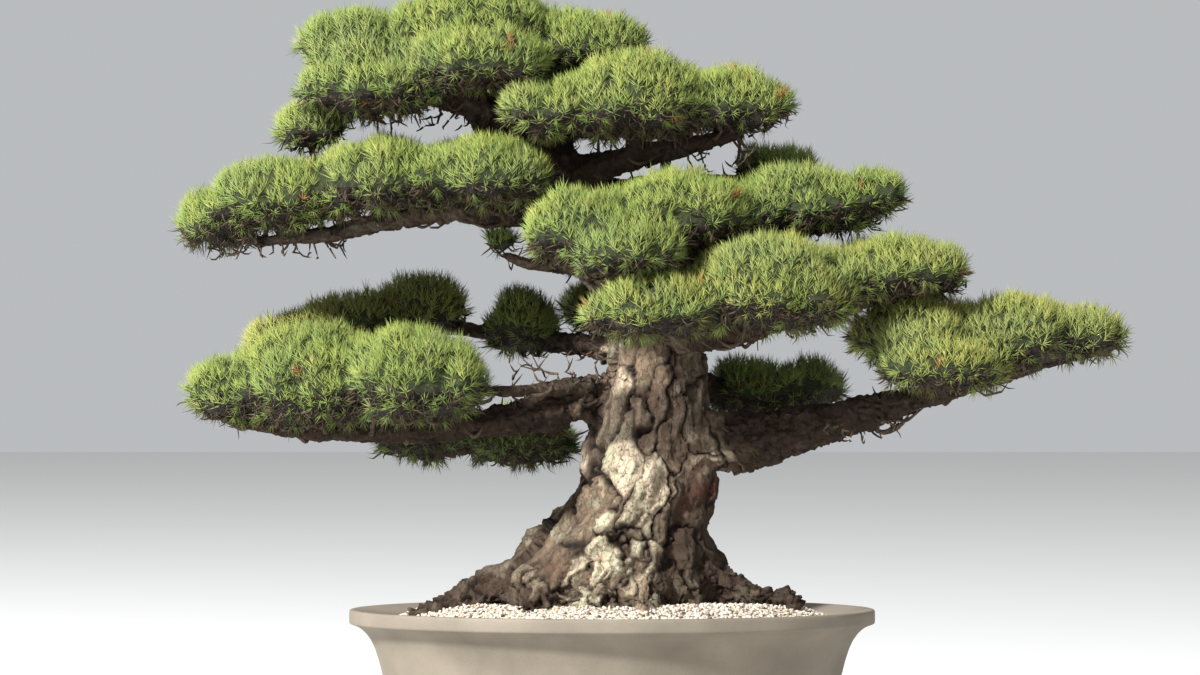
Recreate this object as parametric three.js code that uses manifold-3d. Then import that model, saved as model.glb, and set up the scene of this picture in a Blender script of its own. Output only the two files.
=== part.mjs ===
import * as THREE from 'three';
import { mergeVertices } from 'three/addons/utils/BufferGeometryUtils.js';
import Module from 'manifold-3d';

// An old pine bonsai: a heavy flared trunk with clipped, cloud-like pads of short needles,
// standing in a shallow oval stoneware pot under a layer of pale grit.
// Millimetres, +X to the right, +Y to the back, +Z up. The shapes are drawn round the pot's centre.

// Pot: the rim's outer oval and the wall's height. An inset is measured in from the rim's oval.
const POT_HALF_LENGTH = 305;
const POT_HALF_DEPTH = 220;
const POT_HEIGHT = 160;
const FOOT_HEIGHT = 10;
const FLOOR_HEIGHT = 22;
const POT_SIDES = 28;
const OVAL_CORE = 100;
const DRAIN_OFFSET = 110;
const DRAIN_RADIUS = 12;
const FOOT_INSETS = [62, 84];
const FOOT_ANGLE = 45;
const FOOT_SPREAD = 17;
const FOOT_STEPS = 4;
const FOOT_ROOT = 3;
const DRAIN_SIDES = 12;

// Drainage screens on the pot's floor
const SCREEN_SIZE = 40;
const SCREEN_THICKNESS = 1.6;
const SCREEN_CELLS = 2;
const SCREEN_BAR = 3;

// Soil and grit: the level at the pot's wall, and how far both rise towards the trunk
const SOIL_EDGE_INSET = 48.8;
const SOIL_EDGE_LEVEL = 143.2;
const MOUND_RISE = 17;
const MOUND_REACH = 70;
const SOIL_RINGS = [72, 95, 125];
const GRIT_EDGE_INSET = 47.4;
const GRIT_EDGE_LEVEL = 148.4;
const GRIT_DEPTH = 8;
const GRIT_RING_STEP = 30;
const GRIT_RING_LIMIT = 136;
const GRAIN_RELIEF = 2;
const GRAIN_WAVES = [0.9, 1.1];

// Clearances between pieces that rest in each other
const SEAT_GAP = 0.35;
const WOOD_GAP = 0.6;
const CORE_GAP = 0.8;

// Needle pairs: a true length and width, sunk into the spray's core
const NEEDLE_LENGTH = 30;
const NEEDLE_RADIUS = 0.9;
const NEEDLE_ROOT = 6;
const NEEDLE_AREA = 1980;
const NEEDLE_LIFT = 0.35;
const NEEDLE_LOWEST = -0.5;

// Trunk stations from the stump in the soil to the apex: x, y, z, half width, half depth
const TRUNK = [
  [-10, 5, 100, 62, 52],
  [-12, 0, 135, 122, 96],
  [-8, 0, 165, 148, 106],
  [-4, 0, 190, 146, 102],
  [1, 0, 210, 137, 96],
  [8, 0, 235, 117, 88],
  [17, 0, 263, 100, 82],
  [34, 0, 290, 87, 76],
  [43, 0, 321, 82, 70],
  [44, 0, 356, 69, 62],
  [48, 0, 402, 57, 55],
  [55, 0, 465, 50, 48],
  [40, 0, 515, 45, 43],
  [5, 0, 552, 40, 38],
  [-22, 0, 598, 34, 33],
  [-38, 0, 645, 30, 28],
  [-80, -5, 684, 26, 25],
  [-130, -10, 712, 22, 22],
  [-166, -15, 752, 18, 18],
  [-176, -20, 795, 13, 13],
  [-182, -30, 832, 8, 8],
  [-186, -38, 858, 4, 4],
];

// Surface roots, each from the flare to its end in the grit: x, y, z, radius
const ROOTS = [
  [[-22, -12, 246, 46], [-84, -25, 200, 39], [-142, -30, 173, 31], [-196, -32, 161, 22], [-236, -30, 151, 11]],
  [[-40, -40, 205, 42], [-76, -80, 178, 26], [-98, -104, 158, 14]],
  [[20, -50, 205, 40], [32, -84, 178, 25], [40, -106, 158, 13]],
  [[70, -20, 225, 46], [122, -30, 188, 32], [165, -32, 175, 19], [198, -30, 177, 16], [214, -28, 166, 10]],
  [[60, 35, 210, 42], [118, 74, 172, 26], [158, 98, 149, 12]],
  [[0, 45, 215, 44], [-10, 102, 174, 28], [-16, 140, 149, 12]],
  [[-50, 35, 210, 42], [-120, 80, 172, 27], [-168, 106, 149, 12]],
];

// Main limbs, each from the middle of the trunk outwards: x, y, z, radius
const LIMBS = [
  [[48, 0, 372, 46], [110, -12, 353, 39], [170, -25, 356, 33], [232, -40, 372, 26], [292, -58, 388, 19],
    [350, -66, 404, 14], [425, -66, 424, 10], [500, -55, 447, 8], [560, -42, 458, 5]],
  [[48, 0, 410, 34], [-20, -8, 398, 27], [-75, -15, 388, 22], [-140, -24, 376, 18], [-215, -32, 367, 15],
    [-300, -36, 364, 12], [-380, -30, 368, 9], [-450, -20, 380, 6]],
  [[52, 0, 430, 20], [-5, -14, 424, 11], [-60, -40, 416, 9], [-118, -66, 412, 7], [-180, -90, 414, 5]],
  [[52, 0, 478, 34], [100, -60, 480, 25], [160, -110, 488, 19], [232, -108, 508, 14], [308, -72, 522, 10],
    [372, -50, 534, 6]],
  [[5, 0, 552, 26], [40, -60, 560, 18], [100, -82, 574, 15], [190, -62, 594, 11], [282, -38, 606, 7]],
  [[-28, 0, 612, 26], [-95, -40, 618, 19], [-175, -58, 621, 15], [-255, -60, 608, 12], [-330, -50, 592, 10],
    [-412, -32, 584, 6]],
  [[-50, 0, 660, 22], [10, -40, 678, 15], [78, -50, 692, 12], [145, -38, 708, 7]],
  [[-160, -12, 742, 15], [-235, -30, 756, 11], [-300, -38, 752, 8], [-348, -16, 712, 5]],
  [[50, 0, 425, 24], [92, 60, 420, 17], [150, 98, 406, 12], [230, 98, 406, 7]],
  [[50, 0, 440, 24], [-20, 66, 464, 14], [-105, 116, 472, 11], [-205, 116, 490, 8], [-300, 96, 492, 5]],
  [[-60, -12, 388, 16], [-90, 44, 352, 10], [-200, 62, 340, 6]],
  [[8, 0, 545, 22], [30, 90, 556, 14], [40, 180, 568, 8]],
  [[-60, 0, 670, 18], [-58, 80, 712, 11], [-58, 146, 730, 7]],
  [[52, 0, 470, 24], [62, 110, 464, 15], [48, 222, 474, 8]],
  [[-40, 0, 640, 18], [-92, 62, 632, 12], [-165, 116, 632, 7]],
  [[-36, 0, 640, 16], [60, 48, 652, 10], [176, 68, 662, 5]],
  [[-4, 0, 560, 18], [-50, -28, 555, 10], [-94, -42, 558, 7], [-122, -44, 567, 5]],
];

// Side branches: the steps in which a limb is searched for the nearest point, and the shortest one drawn
const LIMB_STEPS = 40;
const SHORTEST_BRANCH = 28;

// Facets round and along the wood. Below one height the trunk's rings lie level.
const TRUNK_SIDES = 16;
const TRUNK_RINGS = 22;
const LEVEL_RINGS = 340;
const LIMB_SIDES = 6;
const TWIG_SIDES = 5;
const LONG_LIMB = 5;
const BRANCH_SIDES = 4;
const BRANCH_RINGS = 2;

// Bark: the height of its ridges, plates and knobs as shares of the radius
const RIDGE_RELIEF = 0.045;
const PLATE_RELIEF = 0.025;
const KNOB_RELIEF = [0.07, 0.06];

// Pads of foliage: the lobes of each spray's core as x, y, z, half width, half depth and dome height
const PADS = [
  ['foliage_apex', [[-160, 0, 825, 88, 82, 55], [-296, -15, 806, 68, 62, 38], [-35, 8, 800, 80, 66, 45],
    [-278, -65, 750, 82, 58, 46], [-150, -80, 776, 78, 58, 44], [-120, 78, 818, 88, 65, 42]]],
  ['foliage_upper_left', [[-350, -10, 706, 40, 50, 38]]],
  ['foliage_upper_right', [[-72, -106, 722, 56, 50, 34], [22, -60, 730, 80, 84, 65],
    [138, -30, 730, 72, 62, 45], [55, 45, 738, 90, 65, 42]]],
  ['foliage_middle_left', [[-455, -20, 597, 44, 50, 42], [-385, -42, 622, 78, 76, 50],
    [-262, -62, 642, 88, 84, 52], [-148, -85, 648, 80, 72, 46]]],
  ['foliage_middle_right', [[-38, -145, 582, 60, 56, 50], [15, -180, 560, 60, 52, 45],
    [76, -105, 600, 88, 80, 55], [214, -46, 614, 96, 74, 44],
    [296, -44, 632, 44, 54, 26]]],
  ['foliage_middle_right_back', [[190, 68, 664, 54, 56, 24]]],
  ['foliage_middle_tuft', [[-127, -44, 576, 24, 26, 18]]],
  ['foliage_centre_right', [[38, -195, 492, 72, 60, 44], [180, -138, 512, 102, 86, 72],
    [322, -78, 538, 88, 76, 42]]],
  ['foliage_lower_right', [[345, -70, 468, 70, 72, 48], [370, -132, 432, 76, 54, 42],
    [460, -62, 463, 72, 72, 52], [535, -42, 466, 48, 56, 38]]],
  ['foliage_lower_left', [[-438, -12, 402, 56, 66, 44], [-340, -45, 405, 92, 90, 78],
    [-224, -105, 410, 84, 82, 70]]],
  ['foliage_lower_left_back', [[-378, 66, 458, 54, 56, 34], [-306, 92, 486, 62, 62, 30],
    [-224, 112, 498, 50, 60, 42]]],
  ['foliage_left_back', [[-108, 120, 476, 42, 65, 48]]],
  ['foliage_right_back', [[160, 115, 402, 52, 70, 38], [228, 95, 408, 52, 60, 30]]],
  ['foliage_under_left', [[-215, 75, 348, 60, 60, 32], [-105, 65, 345, 65, 60, 42]]],
  ['foliage_back_middle', [[40, 190, 572, 120, 85, 52]]],
  ['foliage_back_upper', [[-60, 150, 735, 110, 75, 45]]],
  ['foliage_back_lower', [[20, 235, 500, 85, 75, 40]]],
  ['foliage_back_left', [[-175, 125, 648, 105, 75, 45]]],
];
const CORE_UNDERSIDE = 0.45;
const CORE_DETAIL = 1;

const wasm = await Module();
wasm.setup();

// A repeatable random draw between 0 and 1, after the mulberry32 rule
let seed = 20261130;
function draw() {
  seed = (seed + 0x6d2b79f5) | 0;
  let mixed = Math.imul(seed ^ (seed >>> 15), 1 | seed);
  mixed = (mixed + Math.imul(mixed ^ (mixed >>> 7), 61 | mixed)) ^ mixed;
  return ((mixed ^ (mixed >>> 14)) >>> 0) / 4294967296;
}

// Turns a closed geometry into a solid that can be joined and cut.
function toSolid(geometry) {
  geometry.deleteAttribute('normal');
  geometry.deleteAttribute('uv');
  const merged = mergeVertices(geometry, 1e-3);
  const corners = [];
  for (let i = 0; i < merged.index.count; i += 3) {
    const [a, b, c] = merged.index.array.slice(i, i + 3);
    if (a !== b && b !== c && c !== a) {
      corners.push(a, b, c);
    }
  }
  return new wasm.Manifold(new wasm.Mesh({
    numProp: 3,
    vertProperties: Float32Array.from(merged.attributes.position.array),
    triVerts: Uint32Array.from(corners),
  }));
}

// Turns a solid back into a geometry.
function toGeometry(solid) {
  const mesh = solid.getMesh();
  const geometry = new THREE.BufferGeometry();
  geometry.setAttribute('position', new THREE.BufferAttribute(Float32Array.from(mesh.vertProperties), 3));
  geometry.setIndex(new THREE.BufferAttribute(Uint32Array.from(mesh.triVerts), 1));
  geometry.computeVertexNormals();
  return geometry;
}

// Joins a list of solids.
function joined(solids) {
  return solids.reduce((whole, solid) => whole.add(solid));
}

// Keeps the largest body of a solid and drops loose scraps.
function largestBody(solid) {
  return solid.decompose().reduce((best, body) => (body.volume() > best.volume() ? body : best));
}

// Stretches a turned shape into the pot's oval, with its walls equally thick all the way round.
function stretchToOval(geometry) {
  const corners = geometry.attributes.position;
  for (let i = 0; i < corners.count; i += 1) {
    const radius = Math.hypot(corners.getX(i), corners.getY(i));
    const widening = (POT_HALF_LENGTH - POT_HALF_DEPTH) / Math.max(radius, OVAL_CORE);
    corners.setX(i, corners.getX(i) * (1 + widening));
  }
  return geometry;
}

// An oval solid from a profile of insets and heights that starts and ends on the axis.
function ovalSolid(profile) {
  const points = profile.map(([inset, height]) => new THREE.Vector2(POT_HALF_DEPTH - inset, height));
  return stretchToOval(new THREE.LatheGeometry(points, POT_SIDES).rotateX(Math.PI / 2));
}

// One low foot that follows the pot's base oval at a diagonal.
function foot(middle) {
  const corners = [];
  for (const [side, inset] of FOOT_INSETS.entries()) {
    for (let step = 0; step <= FOOT_STEPS; step += 1) {
      const share = side === 0 ? step / FOOT_STEPS : 1 - step / FOOT_STEPS;
      const angle = THREE.MathUtils.degToRad(middle + FOOT_SPREAD * (2 * share - 1));
      const x = (POT_HALF_LENGTH - inset) * Math.cos(angle);
      const y = (POT_HALF_DEPTH - inset) * Math.sin(angle);
      corners.push(new THREE.Vector2(x, y));
    }
  }
  const height = FOOT_HEIGHT + FOOT_ROOT;
  return toSolid(new THREE.ExtrudeGeometry(new THREE.Shape(corners), { depth: height, bevelEnabled: false }));
}

// The pot: a concave wall under a broad everted rim, with four feet and two drain holes.
function makePot() {
  const wall = toSolid(ovalSolid([
    [POT_HALF_DEPTH, FOOT_HEIGHT], [66, FOOT_HEIGHT], [54, 22], [46, 50], [39, 84], [30, 118], [20, 133],
    [6, 143], [2, 147], [0, POT_HEIGHT], [4, POT_HEIGHT], [16, 158], [34, 154], [46, 149.5], [48, 143],
    [48, 125], [56, 60], [67, 26], [71, FLOOR_HEIGHT], [POT_HALF_DEPTH, FLOOR_HEIGHT],
  ]));
  const feet = [1, 3, 5, 7].map((turn) => foot(FOOT_ANGLE * turn));
  const drains = [-DRAIN_OFFSET, DRAIN_OFFSET].map((x) => {
    const drain = new THREE.CylinderGeometry(DRAIN_RADIUS, DRAIN_RADIUS, 3 * FLOOR_HEIGHT, DRAIN_SIDES);
    return toSolid(drain.rotateX(Math.PI / 2).translate(x, 0, FLOOR_HEIGHT));
  });
  return joined([wall, ...feet]).subtract(joined(drains));
}

// A square plastic mesh that keeps the soil out of a drain hole.
function makeScreen(x) {
  const height = FLOOR_HEIGHT + SEAT_GAP + SCREEN_THICKNESS / 2;
  const plate = new THREE.BoxGeometry(SCREEN_SIZE, SCREEN_SIZE, SCREEN_THICKNESS).translate(x, 0, height);
  const pitch = (SCREEN_SIZE - SCREEN_BAR) / SCREEN_CELLS;
  const cells = [];
  for (let row = 0; row < SCREEN_CELLS; row += 1) {
    for (let column = 0; column < SCREEN_CELLS; column += 1) {
      const u = (column - (SCREEN_CELLS - 1) / 2) * pitch;
      const v = (row - (SCREEN_CELLS - 1) / 2) * pitch;
      const side = pitch - SCREEN_BAR;
      cells.push(toSolid(new THREE.BoxGeometry(side, side, 3 * SCREEN_THICKNESS).translate(x + u, v, height)));
    }
  }
  return toSolid(plate).subtract(joined(cells));
}

// The soil's level at an inset: flat at the wall and rising to the trunk.
function soilLevel(inset) {
  const share = THREE.MathUtils.smoothstep(inset, SOIL_EDGE_INSET, SOIL_EDGE_INSET + MOUND_REACH);
  return SOIL_EDGE_LEVEL + MOUND_RISE * share;
}

// The soil: it fills the pot and has a recess for each screen and a hole for the root crown.
function makeSoil(woodRoom) {
  const surface = [SOIL_EDGE_INSET, ...SOIL_RINGS, POT_HALF_DEPTH].map((inset) => [inset, soilLevel(inset)]);
  const body = toSolid(ovalSolid([
    [POT_HALF_DEPTH, FLOOR_HEIGHT + SEAT_GAP], [71.5, FLOOR_HEIGHT + SEAT_GAP], [67.5, 26], [56.4, 60],
    [48.4, 125], ...surface,
  ]));
  const recesses = [-DRAIN_OFFSET, DRAIN_OFFSET].map((x) => {
    const side = SCREEN_SIZE + 2 * SEAT_GAP;
    const height = 2 * (SCREEN_THICKNESS + 2 * SEAT_GAP);
    return toSolid(new THREE.BoxGeometry(side, side, height).translate(x, 0, FLOOR_HEIGHT));
  });
  return largestBody(body.subtract(joined(recesses)).subtract(woodRoom));
}

// The grit: a thin layer on the soil, its grains drawn larger than life as relief.
function makeGrit(woodRoom) {
  const underside = [POT_HALF_DEPTH, ...[...SOIL_RINGS].reverse(), SOIL_EDGE_INSET].map(
    (inset) => [inset, soilLevel(inset) + SEAT_GAP]);
  const top = [[GRIT_EDGE_INSET, GRIT_EDGE_LEVEL]];
  for (let inset = GRIT_EDGE_INSET + GRIT_RING_STEP; inset < GRIT_RING_LIMIT; inset += GRIT_RING_STEP) {
    top.push([inset, soilLevel(inset) + GRIT_DEPTH]);
  }
  top.push([POT_HALF_DEPTH, soilLevel(POT_HALF_DEPTH) + GRIT_DEPTH]);
  const layer = ovalSolid([...underside, ...top]);
  const corners = layer.attributes.position;
  for (let i = 0; i < corners.count; i += 1) {
    const ring = i % (underside.length + top.length);
    if (ring > underside.length) {
      const relief = Math.sin(GRAIN_WAVES[0] * corners.getX(i)) * Math.cos(GRAIN_WAVES[1] * corners.getY(i));
      corners.setZ(i, corners.getZ(i) + GRAIN_RELIEF * relief);
    }
  }
  return largestBody(toSolid(layer).subtract(woodRoom));
}

// A tapered limb through a list of stations, its section pressed and ridged by a relief rule.
// Its rings lie square to its path, or level where it is still under a given height.
function limb(stations, sides, rings, relief, gap, levelBelow = 0) {
  const path = new THREE.CatmullRomCurve3(stations.map(([x, y, z]) => new THREE.Vector3(x, y, z)));
  const last = stations.length - 1;
  const across = path.getTangent(0.5);
  const reference = Math.abs(across.y) > 0.75 ? new THREE.Vector3(1, 0, 0) : new THREE.Vector3(0, 1, 0);
  const geometry = new THREE.CylinderGeometry(1, 1, 1, sides, rings);
  const corners = geometry.attributes.position;
  for (let i = 0; i < corners.count; i += 1) {
    const along = corners.getY(i) + 0.5;
    const reach = Math.hypot(corners.getX(i), corners.getZ(i));
    const angle = Math.atan2(-corners.getZ(i), corners.getX(i));
    const station = Math.min(Math.floor(along * last), last - 1);
    const share = along * last - station;
    const [, , , wide, deep = wide] = stations[station];
    const [, , , nextWide, nextDeep = nextWide] = stations[station + 1];
    const ridge = relief(angle, along);
    const halfWidth = (THREE.MathUtils.lerp(wide, nextWide, share) * ridge + gap) * reach;
    const halfDepth = (THREE.MathUtils.lerp(deep, nextDeep, share) * ridge + gap) * reach;
    const point = path.getPoint(along);
    const tangent = point.z < levelBelow ? new THREE.Vector3(0, 0, 1) : path.getTangent(along);
    const side = new THREE.Vector3().crossVectors(reference, tangent).normalize();
    const back = new THREE.Vector3().crossVectors(tangent, side);
    point.addScaledVector(side, halfWidth * Math.cos(angle));
    point.addScaledVector(back, halfDepth * Math.sin(angle));
    if (along === 0 || along === 1) {
      point.addScaledVector(tangent, gap * Math.sign(along - 0.5));
    }
    corners.setXYZ(i, point.x, point.y, point.z);
  }
  return toSolid(geometry);
}

// Bark that stands in long ridges up the trunk, broken into plates.
function barkRidges(angle, along) {
  const ridges = Math.sin(5 * angle + 3 * Math.sin(14 * along));
  const plates = Math.sin(60 * along + 4 * Math.sin(3 * angle));
  return 1 + RIDGE_RELIEF * ridges + PLATE_RELIEF * plates;
}

// Knobs along an old branch or root.
function knobs(angle, along) {
  const [twisted, ringed] = KNOB_RELIEF;
  return 1 + twisted * Math.sin(2 * angle + 15 * along) + ringed * Math.sin(29 * along);
}

// The nearest point of the trunk and the limbs to a place in a pad, with its distance and radius.
function nearestWood(target) {
  let nearest = { distance: Infinity };
  for (const stations of [TRUNK, ...LIMBS]) {
    const path = new THREE.CatmullRomCurve3(stations.map(([x, y, z]) => new THREE.Vector3(x, y, z)));
    for (let step = 0; step <= LIMB_STEPS; step += 1) {
      const along = step / LIMB_STEPS;
      const point = path.getPoint(along);
      const distance = point.distanceTo(target);
      if (distance < nearest.distance) {
        const [, , , radius] = stations[Math.round(along * (stations.length - 1))];
        nearest = { distance, point, radius };
      }
    }
  }
  return nearest;
}

// The side branch that carries one lobe: it rises from the nearest limb into the lobe's core.
// A lobe that a limb already reaches has none.
function sideBranches([x, y, z, wide, deep, height]) {
  const target = new THREE.Vector3(x, y, z + 0.1 * height);
  const { distance, point, radius } = nearestWood(target);
  if (distance < SHORTEST_BRANCH) {
    return [];
  }
  const middle = point.clone().lerp(target, 0.5);
  const thickness = Math.min(0.8 * radius, 4 + 0.05 * (wide + deep));
  return [[
    [point.x, point.y, point.z, thickness],
    [middle.x, middle.y, middle.z - 0.1 * height, 0.75 * thickness],
    [target.x, target.y, target.z, 0.45 * thickness],
  ]];
}

// The wood: trunk, surface roots, limbs and side branches, grown as one piece.
function makeWood(gap) {
  const branches = PADS.flatMap(([, lobes]) => lobes.flatMap(sideBranches));
  return joined([
    limb(TRUNK, TRUNK_SIDES, TRUNK_RINGS, barkRidges, gap, LEVEL_RINGS),
    ...ROOTS.map((stations) => limb(stations, LIMB_SIDES, stations.length, knobs, gap)),
    ...LIMBS.map((stations) => {
      const sides = stations.length > LONG_LIMB ? LIMB_SIDES : TWIG_SIDES;
      return limb(stations, sides, stations.length - 1, knobs, gap);
    }),
    ...branches.map((stations) => limb(stations, BRANCH_SIDES, BRANCH_RINGS, knobs, gap)),
  ]);
}

// One lobe of a core: a dome over a flatter underside, grown by a gap where room is cut for it.
function lobeBall([x, y, z, wide, deep, height], gap) {
  const ball = new THREE.IcosahedronGeometry(1, CORE_DETAIL);
  const corners = ball.attributes.position;
  for (let i = 0; i < corners.count; i += 1) {
    const rise = corners.getZ(i) > 0 ? height : CORE_UNDERSIDE * height;
    corners.setXYZ(
      i,
      x + corners.getX(i) * (wide + gap),
      y + corners.getY(i) * (deep + gap),
      z + corners.getZ(i) * (rise + gap),
    );
  }
  return ball;
}

// Whether a point lies within a margin of a lobe.
function withinLobe(point, [x, y, z, wide, deep, height], margin) {
  const rise = point.z > z ? height : CORE_UNDERSIDE * height;
  const offset = [
    (point.x - x) / (wide + margin),
    (point.y - y) / (deep + margin),
    (point.z - z) / (rise + margin),
  ];
  return Math.hypot(...offset) < 1;
}

// One needle pair: a three-sided spike rooted in the core.
function needle(root, direction) {
  const spike = new THREE.ConeGeometry(NEEDLE_RADIUS, NEEDLE_LENGTH, 3);
  spike.rotateY(2 * Math.PI * draw());
  spike.translate(0, NEEDLE_LENGTH / 2 - NEEDLE_ROOT, 0);
  spike.applyQuaternion(new THREE.Quaternion().setFromUnitVectors(new THREE.Vector3(0, 1, 0), direction));
  return toSolid(spike.translate(root.x, root.y, root.z));
}

// Whether a needle of one lobe would run into another lobe, or into a spray that is made before its own.
function crosses(root, tip, padIndex, lobe) {
  return PADS.some(([, others], index) => others.some((other) => {
    if (other === lobe) {
      return false;
    }
    if (index === padIndex) {
      return withinLobe(root, other, NEEDLE_ROOT);
    }
    const margin = index < padIndex ? NEEDLE_LENGTH - NEEDLE_ROOT : 2 * CORE_GAP;
    return withinLobe(tip, other, margin) || withinLobe(root, other, margin);
  }));
}

// The needles of one lobe: one on most faces of its core, all round and leaning upwards.
function lobeNeedles(padIndex, lobe) {
  const corners = lobeBall(lobe, 0).attributes.position;
  const needles = [];
  for (let i = 0; i < corners.count; i += 3) {
    const [a, b, c] = [0, 1, 2].map((corner) => new THREE.Vector3().fromBufferAttribute(corners, i + corner));
    const root = a.clone().add(b).add(c).divideScalar(3);
    const direction = new THREE.Vector3().crossVectors(b.sub(a), c.sub(a));
    const faceArea = direction.length() / 2;
    direction.normalize();
    if (direction.z < NEEDLE_LOWEST || draw() > faceArea / NEEDLE_AREA) {
      continue;
    }
    direction.add(new THREE.Vector3(0.5 * draw() - 0.25, 0.5 * draw() - 0.25, NEEDLE_LIFT)).normalize();
    const tip = root.clone().addScaledVector(direction, NEEDLE_LENGTH - NEEDLE_ROOT);
    if (!crosses(root, tip, padIndex, lobe)) {
      needles.push(needle(root, direction));
    }
  }
  return needles;
}

// One pad's spray: a core of lobes with needles all over it, and sockets for the wood.
function makePad(padIndex, woodRoom) {
  const [, lobes] = PADS[padIndex];
  const core = joined(lobes.map((lobe) => toSolid(lobeBall(lobe, 0))));
  const needles = lobes.flatMap((lobe) => lobeNeedles(padIndex, lobe));
  const earlier = PADS.slice(0, padIndex).flatMap(
    ([, others]) => others.map((lobe) => toSolid(lobeBall(lobe, CORE_GAP))));
  const spray = joined([core, ...needles]);
  return largestBody([woodRoom, ...earlier].reduce((left, room) => left.subtract(room), spray));
}

const stoneware = new THREE.MeshStandardMaterial({ color: 0xa79b8a, roughness: 0.7, metalness: 0 });
const plasticMesh = new THREE.MeshStandardMaterial({ color: 0x2c2e2c, roughness: 0.6, metalness: 0 });
const soilMix = new THREE.MeshStandardMaterial({ color: 0x4a382a, roughness: 1, metalness: 0 });
const paleGrit = new THREE.MeshStandardMaterial({ color: 0xe2d9c8, roughness: 0.9, metalness: 0 });
const pineBark = new THREE.MeshStandardMaterial({ color: 0x7a6552, roughness: 0.95, metalness: 0 });
const pineNeedles = new THREE.MeshStandardMaterial({ color: 0x5f8a35, roughness: 0.65, metalness: 0 });

const bonsai = new THREE.Group();
function place(name, solid, material) {
  const mesh = new THREE.Mesh(toGeometry(solid), material);
  mesh.name = name;
  bonsai.add(mesh);
}

const woodRoom = makeWood(WOOD_GAP);
place('pot', makePot(), stoneware);
place('drain_screen_left', makeScreen(-DRAIN_OFFSET), plasticMesh);
place('drain_screen_right', makeScreen(DRAIN_OFFSET), plasticMesh);
place('soil', makeSoil(woodRoom), soilMix);
place('grit', makeGrit(woodRoom), paleGrit);
place('wood', makeWood(0), pineBark);
PADS.forEach(([name], index) => place(name, makePad(index, woodRoom), pineNeedles));

// The origin lies under the middle of the whole tree, on the surface that the feet stand on.
const extent = new THREE.Box3().setFromObject(bonsai);
const middle = extent.getCenter(new THREE.Vector3());
bonsai.position.set(-middle.x, -middle.y, -extent.min.z);

export default bonsai;
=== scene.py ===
import math

import bpy
import numpy as np
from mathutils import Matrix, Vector, noise
from mathutils.bvhtree import BVHTree
from mathutils.kdtree import KDTree


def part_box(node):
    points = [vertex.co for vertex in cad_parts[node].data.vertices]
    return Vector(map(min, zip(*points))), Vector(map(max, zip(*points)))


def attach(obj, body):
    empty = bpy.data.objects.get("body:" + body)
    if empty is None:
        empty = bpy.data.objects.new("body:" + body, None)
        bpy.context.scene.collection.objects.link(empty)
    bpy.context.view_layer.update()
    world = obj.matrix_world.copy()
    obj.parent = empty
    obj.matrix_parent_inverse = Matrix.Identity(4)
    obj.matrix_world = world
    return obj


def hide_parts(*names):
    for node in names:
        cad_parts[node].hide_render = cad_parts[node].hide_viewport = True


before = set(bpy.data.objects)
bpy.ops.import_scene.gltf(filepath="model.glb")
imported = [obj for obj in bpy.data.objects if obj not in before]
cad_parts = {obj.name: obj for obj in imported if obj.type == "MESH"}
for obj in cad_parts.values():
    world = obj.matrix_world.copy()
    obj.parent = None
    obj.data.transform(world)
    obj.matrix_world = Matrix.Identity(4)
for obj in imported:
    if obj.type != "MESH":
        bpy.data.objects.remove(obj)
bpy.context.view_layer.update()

# The camera stands nearly six metres in front of the pot and looks level along +Y, half-way up
# the tree. From so far off, through a long lens, the perspective is flat.
MM = 0.001
EYE_FROM_POT = Vector((-14, -5840, 474)) * MM
EYE_LENS = 151.3
pot_centre = (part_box("pot")[0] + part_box("pot")[1]) / 2
pot_centre.z = 0
pot_middle = np.array(pot_centre)
bpy.ops.object.camera_add(location=pot_centre + EYE_FROM_POT, rotation=(math.radians(90), 0, 0))
bpy.context.object.data.lens = EYE_LENS
bpy.context.scene.camera = bpy.context.object


# The pot is a shallow oval bowl of unglazed stoneware with a broad rim, on four low feet.
# Its section was turned on a wheel and the soft clay then pressed into an oval: the wall
# sweeps in under the rim in one hollow curve, and the feet were luted on before the firing.
POT_HALF_LENGTH = 305 * MM
POT_HALF_DEPTH = 220 * MM
OVAL_CORE = 100 * MM
POT_FLOOR = 22 * MM
POT_TURNS = 48
POT_SECTION = [  # inset from the rim's oval and height, in millimetres, up the outside and down inside
    (218, 10), (140, 10), (70, 10), (66, 10.5), (63.5, 12), (54, 22), (46, 50), (39, 84), (30, 118),
    (20, 133), (10, 140.5), (3, 142.6), (0.6, 143.4), (0, 145.5), (0, 152), (0, 157.5), (1, 159.4),
    (4, 160), (16, 158.2), (34, 154.4), (44, 151), (47, 146.5), (48, 136), (49.5, 115), (56, 60),
    (66, 29), (71, 23), (80, 22), (140, 22), (218, 22),
]
FOOT_MIDDLES = (45, 135, 225, 315)
FOOT_HALF_SPREAD = 17
FOOT_INSETS = (62, 84)
FOOT_HEIGHT = 13 * MM
FOOT_STEPS = 10
FOOT_ROUNDING = 2 * MM
DRAIN_OFFSET = 110 * MM
DRAIN_RADIUS = 12 * MM
DRAIN_SIDES = 32
WELD = 0.01 * MM
SHARP_EDGE = math.radians(40)


def new_piece(name, mesh):
    """A new piece with this mesh."""
    piece = bpy.data.objects.new(name, mesh)
    bpy.context.collection.objects.link(piece)
    return piece


def only(piece):
    """Leaves just this piece selected and active."""
    bpy.ops.object.select_all(action="DESELECT")
    piece.select_set(True)
    bpy.context.view_layer.objects.active = piece


def modified(piece, kind, **settings):
    """Adds a modifier with these settings and applies it."""
    modifier = piece.modifiers.new(kind, kind)
    for name, value in settings.items():
        setattr(modifier, name, value)
    only(piece)
    bpy.ops.object.modifier_apply(modifier=modifier.name)


def corners_of(piece):
    """The places of a piece's corners, one row each."""
    corners = np.empty(len(piece.data.vertices) * 3, np.float32)
    piece.data.vertices.foreach_get("co", corners)
    return corners.reshape(-1, 3).astype(float)


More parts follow.
